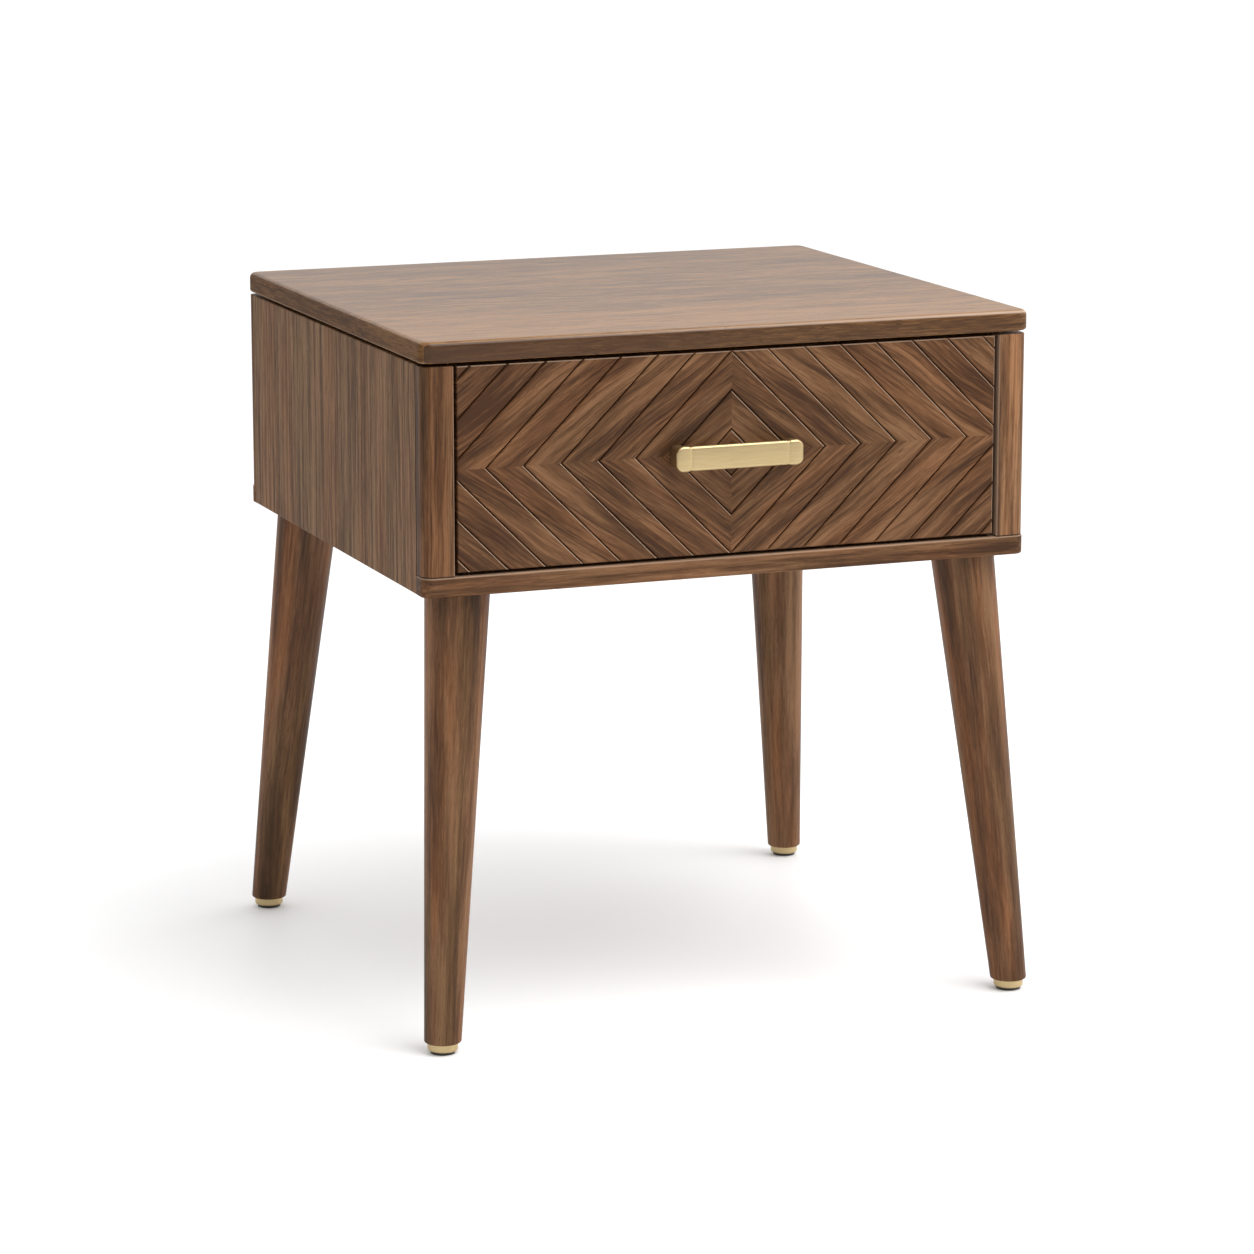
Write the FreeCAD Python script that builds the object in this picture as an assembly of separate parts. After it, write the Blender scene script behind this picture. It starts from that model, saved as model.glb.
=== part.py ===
import FreeCAD, Part

import math
import os

# Side table with one drawer, on four splayed turned legs.
# Millimetres. +X is the right-hand side seen from the front, +Y the rear and +Z up.
# The origin is on the floor, midway between the feet.

# ---- Top ----
TOP_WIDTH = 500.0
TOP_DEPTH = 445.0
TOP_THICKNESS = 16.2
TOP_CORNER_RADIUS = 9.0
TOP_UPPER_ROUND = 4.5
TOP_LOWER_ROUND = 2.4

# ---- Case ----
UNDERSIDE_HEIGHT = 352.0
CASE_HEIGHT = 174.5
CASE_SETBACK = 1.1
SHADOW_GAP = 2.3
SIDE_THICKNESS = 15.0
FLOOR_THICKNESS = 15.0
RAIL_PROUD = 0.6
RAIL_UPPER_ROUND = 1.3
RAIL_LOWER_ROUND = 1.5
JOINT_ROUND = 1.1
FRONT_POST_WIDTH = 24.5
FRONT_POST_DEPTH = 17.5
FRONT_CORNER_RADIUS = 9.0
REAR_POST_WIDTH = 26.0
REAR_POST_DEPTH = 7.5
REAR_CORNER_RADIUS = 5.0
POST_INNER_ROUND = 1.0
BACK_THICKNESS = 6.0
STRETCHER_THICKNESS = 18.0
STRETCHER_WIDTH = 60.0
CLEAT_WIDTH = 15.0

# ---- Legs and feet ----
LEG_TOP_RADIUS = 25.1
LEG_FOOT_RADIUS = 14.3
LEG_INSET_X = 38.0
LEG_INSET_Y = 34.2
LEG_SPLAY_X = 28.2
LEG_SPLAY_Y = 39.2
LEG_FOOT_ROUND = 1.5
GLIDE_RADIUS = 11.75
GLIDE_HEIGHT = 6.5
GLIDE_ROUND = 2.0
GLIDE_STEM_RADIUS = 3.0
GLIDE_STEM_LENGTH = 18.0
PAD_RADIUS = 9.5
PAD_HEIGHT = 2.0
PAD_ROUND = 0.4
BLOCK_SIZE = 60.0
BLOCK_THICKNESS = 16.0
BLOCK_SCREW_INSET = 10.0
LEG_BOLT_RADIUS = 4.0
LEG_BOLT_IN_LEG = 38.0
LEG_BOLT_HOLE_CLEARANCE = 0.5
INSERT_RADIUS = 6.0
INSERT_LENGTH = 10.0
INSERT_COVER = 3.5

# ---- Drawer front ----
FRONT_THICKNESS = 18.0
FRONT_RECESS = 1.75
FRONT_SIDE_GAP = 3.0
FRONT_BOTTOM_GAP = 2.5
FRONT_TOP_GAP = 3.0
FRONT_EDGE_ROUND = 1.2
FULL_DIAMONDS = 3
CENTRE_DIAMOND_REACH = 17.9
GROOVE_WIDTH = 2.3
GROOVE_DEPTH = 1.6

# ---- Drawer box ----
BOX_BOARD = 12.0
BOX_TOP_CLEARANCE = 6.0
BOX_BOTTOM_CLEARANCE = 4.0
BOX_REAR_ROOM = 12.0
BOX_EDGE_ROUND = 1.5
TRAY_THICKNESS = 5.0
TRAY_RISE = 10.0
TRAY_GROOVE_DEPTH = 5.0
TRAY_GROOVE_SPARE = 0.5
FRONT_REAR_CLEARANCE = 2.0
STOP_WIDTH = 40.0
STOP_HEIGHT = 40.0
STOP_PAD_RADIUS = 8.0
STOP_PAD_THICKNESS = 2.0
STOP_CLEARANCE = 0.5

# ---- Pull ----
PULL_HOLE_SPACING = 96.0
PULL_HEIGHT = 20.0
PULL_PROJECTION = 19.0
PULL_BAR_THICKNESS = 6.5
PULL_LEG_WIDTH = 9.0
PULL_LEG_HEIGHT = 17.0
PULL_CORNER_RADIUS = 5.0
PULL_EDGE_ROUND = 1.8
PULL_END_BLOCK = 12.0
PULL_SEAM_WIDTH = 0.8
PULL_SEAM_DEPTH = 0.25
PULL_LEG_ROUND = 1.2

# ---- Ball-bearing runners ----
RUNNER_THICKNESS = 12.7
RUNNER_HEIGHT = 45.0
RUNNER_STEEL = 1.2
RUNNER_STEP = 50.0
RUNNER_REAR_CLEARANCE = 5.0
RUNNER_RISE = 46.0
RUNNER_WEB_CLEARANCE = 1.0
CABINET_FLANGE_CLEARANCE = 3.2
MIDDLE_SHORTER_BY = 10.0
BALL_ROOM = 3.0
BALL_CLEARANCE = 0.05
BALL_PITCH = 12.5
CAGE_WIDTH = 4.2
CAGE_THICKNESS = 1.2
CAGE_END_MARGIN = 10.0
PACKER_HEIGHT = 70.0

# ---- Fasteners ----
SCREW_RADIUS = 1.75
SCREW_HEAD_RADIUS = 3.5
SCREW_POINT = 3.0
CROSS_LENGTH = 3.6
CROSS_WIDTH = 0.8
CROSS_DEPTH = 1.0
TOP_SCREW_LENGTH = 28.0
FRAME_SCREW_LENGTH = 25.0
SHORT_SCREW_LENGTH = 16.0
BOX_SCREW_LENGTH = 11.5
FRONT_SCREW_LENGTH = 26.0
PULL_SCREW_RADIUS = 2.0
PULL_SCREW_HEAD_RADIUS = 4.0
PULL_SCREW_HEAD_HEIGHT = 2.4
PULL_SCREW_IN_PULL = 7.0
PULL_SCREW_HOLE_CLEARANCE = 0.3
DOWEL_RADIUS = 4.0
DOWEL_LENGTH = 32.0
DOWEL_IN_FACE = 10.0
BOX_DOWEL_RADIUS = 3.0
BOX_DOWEL_LENGTH = 26.0
BOX_DOWEL_IN_SIDE = 8.0
BOX_DOWEL_INSET = 28.0
EDGE_INSET = 30.0
SCREW_PITCH = 150.0

# ---- Planes that follow from the sizes above ----
CASE_TOP = UNDERSIDE_HEIGHT + CASE_HEIGHT
TOP_UNDERSIDE = CASE_TOP + SHADOW_GAP
TOP_SURFACE = TOP_UNDERSIDE + TOP_THICKNESS
FLOOR_UPPER = UNDERSIDE_HEIGHT + FLOOR_THICKNESS

CASE_HALF = TOP_WIDTH / 2 - CASE_SETBACK
CASE_FRONT = CASE_SETBACK - TOP_DEPTH / 2
CASE_REAR = TOP_DEPTH / 2 - CASE_SETBACK
SIDE_INNER = CASE_HALF - SIDE_THICKNESS
POST_INNER = CASE_HALF - FRONT_POST_WIDTH
POST_BACK = CASE_FRONT + FRONT_POST_DEPTH
REAR_POST_FRONT = CASE_REAR - REAR_POST_DEPTH
BACK_FRONT = REAR_POST_FRONT - BACK_THICKNESS
STRETCHER_UNDERSIDE = TOP_UNDERSIDE - STRETCHER_THICKNESS

FRONT_FACE = CASE_FRONT + FRONT_RECESS
FRONT_BACK = FRONT_FACE + FRONT_THICKNESS
FRONT_HALF = POST_INNER - FRONT_SIDE_GAP
FRONT_LOWER = FLOOR_UPPER + FRONT_BOTTOM_GAP
FRONT_UPPER = TOP_UNDERSIDE - FRONT_TOP_GAP
FRONT_MIDDLE = (FRONT_LOWER + FRONT_UPPER) / 2
FRONT_HALF_HEIGHT = (FRONT_UPPER - FRONT_LOWER) / 2
INSIDE_FRONT = FRONT_BACK + FRONT_REAR_CLEARANCE

BLOCK_UPPER = FLOOR_UPPER + BLOCK_THICKNESS
BOX_HALF = POST_INNER - RUNNER_THICKNESS
BOX_LOWER = BLOCK_UPPER + BOX_BOTTOM_CLEARANCE
BOX_UPPER = STRETCHER_UNDERSIDE - BOX_TOP_CLEARANCE
BOX_REAR = BACK_FRONT - BOX_REAR_ROOM
TRAY_LOWER = BOX_LOWER + TRAY_RISE

RUNNER_SPACE = BOX_REAR - INSIDE_FRONT - RUNNER_REAR_CLEARANCE
RUNNER_LENGTH = math.floor(RUNNER_SPACE / RUNNER_STEP) * RUNNER_STEP
MIDDLE_LENGTH = RUNNER_LENGTH - MIDDLE_SHORTER_BY
RUNNER_TRAVEL = MIDDLE_LENGTH
RUNNER_MIDDLE = BOX_LOWER + RUNNER_RISE

WOOD_FOOT = PAD_HEIGHT + GLIDE_HEIGHT

UP = FreeCAD.Vector(0, 0, 1)
FORWARD = FreeCAD.Vector(0, -1, 0)
TINY = 0.01

LEFT_AND_RIGHT = (("left", -1), ("right", 1))
FRONT_AND_REAR = (("front", -1), ("rear", 1))


# ---- Helpers ----

def slab(x0, x1, y0, y1, z0, z1):
    """A box between two opposite corners, given in any order."""
    low = FreeCAD.Vector(min(x0, x1), min(y0, y1), min(z0, z1))
    return Part.makeBox(abs(x1 - x0), abs(y1 - y0), abs(z1 - z0), low)


def rod(start, end, radius):
    """A round bar between two points."""
    run = end - start
    return Part.makeCylinder(radius, run.Length, start, run)


def turned(profile, base, axis):
    """A solid turned from (radius, height) points about an axis through base."""
    points = [FreeCAD.Vector(radius, 0, height) for radius, height in profile]
    outline = Part.makePolygon(points + points[:1])
    blank = Part.Face(outline).revolve(FreeCAD.Vector(0, 0, 0), UP, 360)
    turn = FreeCAD.Rotation(UP, axis)
    blank.Placement = FreeCAD.Placement(base, turn)
    return blank


def rounded(solid, radius, chosen):
    """The solid with a radius on each edge that chosen(box of the edge) accepts."""
    edges = [edge for edge in solid.Edges if chosen(edge.BoundBox)]
    return solid.makeFillet(radius, edges)


def upright_at(x, y):
    """A test for the vertical edge at (x, y)."""
    def chosen(box):
        near = abs(box.XMin - x) + abs(box.XMax - x) + abs(box.YMin - y) + abs(box.YMax - y)
        return near < TINY and box.ZLength > 1
    return chosen


def level_at(z):
    """A test for edges lying in the plane at height z."""
    def chosen(box):
        return abs(box.ZMin - z) < TINY and abs(box.ZMax - z) < TINY
    return chosen


def across_at(x):
    """A test for edges lying in the plane at this x."""
    def chosen(box):
        return abs(box.XMin - x) < TINY and abs(box.XMax - x) < TINY
    return chosen


def lies_along(edge, y):
    """Whether an edge lies in the plane at this y."""
    return abs(edge.BoundBox.YMin - y) < TINY and abs(edge.BoundBox.YMax - y) < TINY


def outer_edges(solid, z, inner_y):
    """The edges of the level face at z, apart from the one on the inner side."""
    return [
        edge for edge in solid.Edges
        if level_at(z)(edge.BoundBox) and not lies_along(edge, inner_y)
    ]


def cut(solid, tools):
    """The solid with every tool taken away."""
    for tool in tools:
        solid = solid.cut(tool)
    return solid


def spread(start, end, pitch):
    """Evenly spaced places from start to end, no further apart than pitch."""
    steps = max(1, math.ceil(abs(end - start) / pitch))
    return [start + (end - start) * i / steps for i in range(steps + 1)]


def screw(head, direction, length):
    """A countersunk wood screw whose flat head lies at the given point."""
    cone = SCREW_HEAD_RADIUS - SCREW_RADIUS
    profile = [
        (0, 0),
        (SCREW_HEAD_RADIUS, 0),
        (SCREW_RADIUS, cone),
        (SCREW_RADIUS, length - SCREW_POINT),
        (0, length),
    ]
    return turned(profile, head, direction)


def slotted(solid, crown):
    """A screw pointing forward, with a cross slot cut into its head from the crown."""
    for half_x, half_z in ((CROSS_LENGTH / 2, CROSS_WIDTH / 2), (CROSS_WIDTH / 2, CROSS_LENGTH / 2)):
        depth = crown.y - CROSS_DEPTH
        bar = slab(crown.x - half_x, crown.x + half_x, depth, crown.y, crown.z - half_z, crown.z + half_z)
        solid = solid.cut(bar)
    return solid


def dowel(start, direction, radius, length):
    """A plain wooden dowel from a point along a direction."""
    return rod(start, start + direction * length, radius)


# ---- Fasteners, which are also the cutters for their own holes ----

def leg_axis(side, end):
    """The leg's top centre, its foot centre and the upward direction between them."""
    x = side * (CASE_HALF - LEG_INSET_X)
    y = end * (CASE_REAR - LEG_INSET_Y)
    top = FreeCAD.Vector(x, y, UNDERSIDE_HEIGHT)
    foot = FreeCAD.Vector(x + side * LEG_SPLAY_X, y + end * LEG_SPLAY_Y, WOOD_FOOT)
    upward = (top - foot).normalize()
    return top, foot, upward


def block_edge(end):
    """Where the outer edge of a front or rear leg block lies, along Y."""
    return INSIDE_FRONT if end < 0 else BACK_FRONT


def leg_bolts():
    """One stud along each leg's axis, up through the case floor into a block."""
    bolts = []
    for _, end in FRONT_AND_REAR:
        for _, side in LEFT_AND_RIGHT:
            top, _, upward = leg_axis(side, end)
            rise = (BLOCK_UPPER - INSERT_COVER / 2 - UNDERSIDE_HEIGHT) / upward.z
            bolts.append(rod(top - upward * LEG_BOLT_IN_LEG, top + upward * rise, LEG_BOLT_RADIUS))
    return bolts


def bolt_holes():
    """Clearance holes for the leg studs through the case floor and the blocks."""
    holes = []
    radius = LEG_BOLT_RADIUS + LEG_BOLT_HOLE_CLEARANCE
    for _, end in FRONT_AND_REAR:
        for _, side in LEFT_AND_RIGHT:
            top, _, upward = leg_axis(side, end)
            below = top - upward * LEG_BOLT_IN_LEG
            above = top + upward * (BLOCK_THICKNESS + FLOOR_THICKNESS) * 2
            holes.append(rod(below, above, radius))
    return holes


def insert_span(side, end):
    """The ends of the threaded insert on a leg's axis, inside its block."""
    top, _, upward = leg_axis(side, end)
    upper = top + upward * ((BLOCK_UPPER - INSERT_COVER - UNDERSIDE_HEIGHT) / upward.z)
    return upper - upward * INSERT_LENGTH, upper


def leg_inserts():
    """Threaded sleeves that the leg studs screw into."""
    sleeves = []
    for _, end in FRONT_AND_REAR:
        for _, side in LEFT_AND_RIGHT:
            lower, upper = insert_span(side, end)
            sleeve = rod(lower, upper, INSERT_RADIUS)
            sleeves.append(sleeve.cut(rod(lower, upper, LEG_BOLT_RADIUS)))
    return sleeves


def insert_holes():
    """The bores in the blocks that hold the inserts."""
    holes = []
    for _, end in FRONT_AND_REAR:
        for _, side in LEFT_AND_RIGHT:
            lower, upper = insert_span(side, end)
            holes.append(rod(lower, upper, INSERT_RADIUS))
    return holes


def top_screws():
    """Screws up through the stretchers and cleats into the top."""
    places = []
    for y in (INSIDE_FRONT + STRETCHER_WIDTH / 2, BACK_FRONT - STRETCHER_WIDTH / 2):
        for x in spread(EDGE_INSET * 2 - SIDE_INNER, SIDE_INNER - EDGE_INSET * 2, SCREW_PITCH * 2):
            places.append((x, y))
    for _, side in LEFT_AND_RIGHT:
        x = side * (SIDE_INNER - CLEAT_WIDTH / 2)
        start = INSIDE_FRONT + STRETCHER_WIDTH + EDGE_INSET * 2
        end = BACK_FRONT - STRETCHER_WIDTH - EDGE_INSET * 2
        for y in (start, end):
            places.append((x, y))
    return [screw(FreeCAD.Vector(x, y, STRETCHER_UNDERSIDE), UP, TOP_SCREW_LENGTH) for x, y in places]


def frame_screws():
    """Screws that hold the cleats to the sides and the leg blocks to the floor."""
    screws = []
    cleat_middle = TOP_UNDERSIDE - STRETCHER_THICKNESS / 2
    start = INSIDE_FRONT + STRETCHER_WIDTH + EDGE_INSET
    end = BACK_FRONT - STRETCHER_WIDTH - EDGE_INSET
    for _, side in LEFT_AND_RIGHT:
        outward = FreeCAD.Vector(side, 0, 0)
        for y in spread(start, end, SCREW_PITCH):
            head = FreeCAD.Vector(side * (SIDE_INNER - CLEAT_WIDTH), y, cleat_middle)
            screws.append(screw(head, outward, FRAME_SCREW_LENGTH))
        for _, end in FRONT_AND_REAR:
            y = block_edge(end) - end * (BLOCK_SIZE - BLOCK_SCREW_INSET)
            for along_x in (BLOCK_SCREW_INSET, BLOCK_SIZE - BLOCK_SCREW_INSET):
                head = FreeCAD.Vector(side * (SIDE_INNER - along_x), y, BLOCK_UPPER)
                screws.append(screw(head, -UP, FRAME_SCREW_LENGTH))
    return screws


def back_screw_heads():
    """Where the back panel's screws sit, over the rear stretcher and the rear leg blocks."""
    stretcher_middle = TOP_UNDERSIDE - STRETCHER_THICKNESS / 2
    block_middle = FLOOR_UPPER + BLOCK_THICKNESS / 2
    reach = SIDE_INNER - EDGE_INSET
    places = [(x, stretcher_middle) for x in spread(-reach, reach, SCREW_PITCH)]
    for _, side in LEFT_AND_RIGHT:
        places.append((side * (SIDE_INNER - BLOCK_SIZE / 2), block_middle))
    return [FreeCAD.Vector(x, REAR_POST_FRONT, z) for x, z in places]


def back_screw_holes():
    """The space that each back panel screw takes."""
    return [screw(head, FORWARD, SHORT_SCREW_LENGTH) for head in back_screw_heads()]


def back_screws():
    """The back panel's screws, with cross slots in their heads."""
    return [slotted(hole, head) for hole, head in zip(back_screw_holes(), back_screw_heads())]


def case_dowels():
    """Dowels that join the floor, stretchers and posts to the sides and rails."""
    dowels = []
    floor_middle = UNDERSIDE_HEIGHT + FLOOR_THICKNESS / 2
    stretcher_middle = TOP_UNDERSIDE - STRETCHER_THICKNESS / 2
    for _, side in LEFT_AND_RIGHT:
        inward = FreeCAD.Vector(-side, 0, 0)
        x = side * (SIDE_INNER + DOWEL_IN_FACE)
        floor_run = BACK_FRONT - POST_BACK
        for y in spread(POST_BACK + floor_run / 4, BACK_FRONT - floor_run / 4, SCREW_PITCH):
            dowels.append(dowel(FreeCAD.Vector(x, y, floor_middle), inward, DOWEL_RADIUS, DOWEL_LENGTH))
        for start in (INSIDE_FRONT, BACK_FRONT - STRETCHER_WIDTH):
            for share in (1, 3):
                y = start + STRETCHER_WIDTH * share / 4
                base = FreeCAD.Vector(x, y, stretcher_middle)
                dowels.append(dowel(base, inward, DOWEL_RADIUS, DOWEL_LENGTH))
        post_x = side * (POST_INNER + FRONT_POST_WIDTH / 2)
        base = FreeCAD.Vector(post_x, CASE_FRONT + FRONT_POST_DEPTH / 2, FLOOR_UPPER - DOWEL_IN_FACE)
        dowels.append(dowel(base, UP, DOWEL_RADIUS, DOWEL_LENGTH))
        for z in (RUNNER_MIDDLE, CASE_TOP - EDGE_INSET):
            base = FreeCAD.Vector(side * (CASE_HALF - SIDE_THICKNESS / 2), POST_BACK - DOWEL_IN_FACE, z)
            dowels.append(dowel(base, -FORWARD, DOWEL_RADIUS, DOWEL_LENGTH))
    return dowels


def box_dowels():
    """Dowels through the drawer sides into the ends of its front and back boards."""
    dowels = []
    for _, side in LEFT_AND_RIGHT:
        x = side * (BOX_HALF - BOX_BOARD + BOX_DOWEL_IN_SIDE)
        for y in (FRONT_BACK + BOX_BOARD / 2, BOX_REAR - BOX_BOARD / 2):
            for z in (BOX_LOWER + BOX_DOWEL_INSET, BOX_UPPER - BOX_DOWEL_INSET):
                base = FreeCAD.Vector(x, y, z)
                inward = FreeCAD.Vector(-side, 0, 0)
                dowels.append(dowel(base, inward, BOX_DOWEL_RADIUS, BOX_DOWEL_LENGTH))
    return dowels


def front_screw_heads():
    """Where the show front's screws sit, inside the drawer."""
    heads = []
    for _, side in LEFT_AND_RIGHT:
        for z in (TRAY_LOWER + TRAY_THICKNESS + EDGE_INSET / 2, BOX_UPPER - EDGE_INSET / 2):
            heads.append(FreeCAD.Vector(side * (BOX_HALF - EDGE_INSET * 2), FRONT_BACK + BOX_BOARD, z))
    return heads


def front_screw_holes():
    """The space that each show front screw takes."""
    return [screw(head, FORWARD, FRONT_SCREW_LENGTH) for head in front_screw_heads()]


def front_screws():
    """Screws from inside the drawer that hold its show front, with cross slots."""
    return [slotted(hole, head) for hole, head in zip(front_screw_holes(), front_screw_heads())]


def runner_places():
    """Screw places along a runner, measured from its front end."""
    return spread(EDGE_INSET, RUNNER_LENGTH - EDGE_INSET, SCREW_PITCH)


def runner_screws(head_reach, outward, length):
    """Screws through a runner's web: outward 1 goes to the case, -1 to the drawer."""
    screws = []
    for _, side in LEFT_AND_RIGHT:
        for along in runner_places():
            head = FreeCAD.Vector(side * (POST_INNER - head_reach), INSIDE_FRONT + along, RUNNER_MIDDLE)
            screws.append(screw(head, FreeCAD.Vector(side * outward, 0, 0), length))
    return screws


def case_runner_screws():
    """Screws that hold the fixed runner members to the packers."""
    return runner_screws(RUNNER_STEEL, 1, SHORT_SCREW_LENGTH)


def box_runner_screws():
    """Screws that hold the moving runner members to the drawer's sides."""
    return runner_screws(RUNNER_THICKNESS - RUNNER_STEEL, -1, BOX_SCREW_LENGTH)


def packer_screws():
    """Screws that hold the packers to the sides, above and below the runners."""
    screws = []
    offset = (RUNNER_HEIGHT + PACKER_HEIGHT) / 4
    for _, side in LEFT_AND_RIGHT:
        for along in runner_places():
            for z in (RUNNER_MIDDLE - offset, RUNNER_MIDDLE + offset):
                head = FreeCAD.Vector(side * POST_INNER, INSIDE_FRONT + along, z)
                screws.append(screw(head, FreeCAD.Vector(side, 0, 0), SHORT_SCREW_LENGTH))
    return screws


def pull_screw(side, clearance):
    """A machine screw from inside the drawer into the pull, grown by a clearance."""
    x = side * PULL_HOLE_SPACING / 2
    seat = FRONT_BACK + BOX_BOARD
    tip = FreeCAD.Vector(x, FRONT_FACE - PULL_SCREW_IN_PULL, FRONT_MIDDLE)
    return rod(FreeCAD.Vector(x, seat, FRONT_MIDDLE), tip, PULL_SCREW_RADIUS + clearance)


def pull_screws():
    """The two screws of the pull, with their pan heads and cross slots."""
    screws = []
    for _, side in LEFT_AND_RIGHT:
        x = side * PULL_HOLE_SPACING / 2
        crown = FreeCAD.Vector(x, FRONT_BACK + BOX_BOARD + PULL_SCREW_HEAD_HEIGHT, FRONT_MIDDLE)
        seat = FreeCAD.Vector(x, FRONT_BACK + BOX_BOARD, FRONT_MIDDLE)
        head = rod(crown, seat, PULL_SCREW_HEAD_RADIUS)
        crown_edges = [edge for edge in head.Edges if abs(edge.BoundBox.YMin - crown.y) < TINY]
        head = head.makeFillet(PULL_SCREW_HEAD_HEIGHT / 2, crown_edges)
        solid = head.fuse(pull_screw(side, 0)).removeSplitter()
        screws.append(slotted(solid, crown))
    return screws


# ---- Top and case ----

def top_panel():
    """The table top, with soft upper edges and a small round below."""
    half_x = TOP_WIDTH / 2
    half_y = TOP_DEPTH / 2
    solid = slab(-half_x, half_x, -half_y, half_y, TOP_UNDERSIDE, TOP_SURFACE)
    for x in (-half_x, half_x):
        for y in (-half_y, half_y):
            solid = rounded(solid, TOP_CORNER_RADIUS, upright_at(x, y))
    solid = rounded(solid, TOP_UPPER_ROUND, level_at(TOP_SURFACE))
    solid = rounded(solid, TOP_LOWER_ROUND, level_at(TOP_UNDERSIDE))
    return cut(solid, top_screws())


def side_panel(side):
    """A case side between the front and rear posts, full height, with eased outer edges."""
    outer = side * CASE_HALF
    solid = slab(side * SIDE_INNER, outer, POST_BACK, REAR_POST_FRONT, UNDERSIDE_HEIGHT, CASE_TOP)
    solid = rounded(solid, JOINT_ROUND, across_at(outer))
    holes = case_dowels() + frame_screws() + case_runner_screws() + packer_screws()
    return cut(solid, holes)


def front_post(side):
    """A front corner post with a round outer corner, standing on the front rail."""
    inner = side * POST_INNER
    outer = side * CASE_HALF
    solid = slab(inner, outer, CASE_FRONT, POST_BACK, FLOOR_UPPER, CASE_TOP)
    solid = rounded(solid, FRONT_CORNER_RADIUS, upright_at(outer, CASE_FRONT))
    solid = rounded(solid, POST_INNER_ROUND, upright_at(inner, CASE_FRONT))
    solid = rounded(solid, JOINT_ROUND, upright_at(outer, POST_BACK))
    solid = solid.makeFillet(JOINT_ROUND, outer_edges(solid, CASE_TOP, POST_BACK))
    return cut(solid, case_dowels())


def rear_post(side):
    """A thin rear corner post that covers the side's rear edge."""
    inner = side * (CASE_HALF - REAR_POST_WIDTH)
    outer = side * CASE_HALF
    solid = slab(inner, outer, REAR_POST_FRONT, CASE_REAR, FLOOR_UPPER, CASE_TOP)
    solid = rounded(solid, REAR_CORNER_RADIUS, upright_at(outer, CASE_REAR))
    return rounded(solid, POST_INNER_ROUND, upright_at(inner, CASE_REAR))


def bottom_rail(inner_y, outer_y, corner_radius):
    """A full-width rail under the posts, a little proud of them, with round corners."""
    half = CASE_HALF + RAIL_PROUD
    solid = slab(-half, half, inner_y, outer_y, UNDERSIDE_HEIGHT, FLOOR_UPPER)
    for x in (-half, half):
        solid = rounded(solid, corner_radius, upright_at(x, outer_y))
        solid = rounded(solid, JOINT_ROUND, upright_at(x, inner_y))
    solid = solid.makeFillet(RAIL_UPPER_ROUND, outer_edges(solid, FLOOR_UPPER, inner_y))
    solid = solid.makeFillet(RAIL_LOWER_ROUND, outer_edges(solid, UNDERSIDE_HEIGHT, inner_y))
    return cut(solid, case_dowels())


def case_floor():
    """The board that closes the case below and carries the legs."""
    solid = slab(-SIDE_INNER, SIDE_INNER, POST_BACK, BACK_FRONT, UNDERSIDE_HEIGHT, FLOOR_UPPER)
    return cut(solid, case_dowels() + bolt_holes() + frame_screws())


def back_panel():
    """The thin back, let in between the sides and screwed on from behind."""
    solid = slab(-SIDE_INNER, SIDE_INNER, BACK_FRONT, REAR_POST_FRONT, UNDERSIDE_HEIGHT, CASE_TOP)
    return cut(solid, back_screw_holes())


def stretcher(start):
    """A flat board across the case, just under the top."""
    solid = slab(-SIDE_INNER, SIDE_INNER, start, start + STRETCHER_WIDTH, STRETCHER_UNDERSIDE, TOP_UNDERSIDE)
    return cut(solid, case_dowels() + top_screws() + back_screw_holes())


def top_cleat(side):
    """A batten along a side between the stretchers, for fixing the top."""
    start = INSIDE_FRONT + STRETCHER_WIDTH
    end = BACK_FRONT - STRETCHER_WIDTH
    inner = side * (SIDE_INNER - CLEAT_WIDTH)
    solid = slab(inner, side * SIDE_INNER, start, end, STRETCHER_UNDERSIDE, TOP_UNDERSIDE)
    return cut(solid, top_screws() + frame_screws())


def runner_packer(side):
    """A batten that brings the runner flush with the inside of the front post."""
    lower = RUNNER_MIDDLE - PACKER_HEIGHT / 2
    upper = RUNNER_MIDDLE + PACKER_HEIGHT / 2
    solid = slab(side * POST_INNER, side * SIDE_INNER, POST_BACK, BACK_FRONT, lower, upper)
    return cut(solid, case_runner_screws() + packer_screws())


def stop_places():
    """The centres of the two drawer stops across the back."""
    return (-BOX_HALF / 2, BOX_HALF / 2)


def stop_blocks():
    """Blocks glued to the back panel, behind the drawer's back board."""
    low = (BOX_LOWER + BOX_UPPER - STOP_HEIGHT) / 2
    high = low + STOP_HEIGHT
    half = STOP_WIDTH / 2
    front = BOX_REAR + STOP_CLEARANCE + STOP_PAD_THICKNESS
    return [slab(x - half, x + half, front, BACK_FRONT, low, high) for x in stop_places()]


def stop_pads():
    """Felt discs on the stop blocks, which the closed drawer comes up to."""
    middle = (BOX_LOWER + BOX_UPPER) / 2
    front = BOX_REAR + STOP_CLEARANCE
    pads = []
    for x in stop_places():
        start = FreeCAD.Vector(x, front, middle)
        pads.append(rod(start, start - FORWARD * STOP_PAD_THICKNESS, STOP_PAD_RADIUS))
    return pads


# ---- Legs and feet ----

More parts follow.
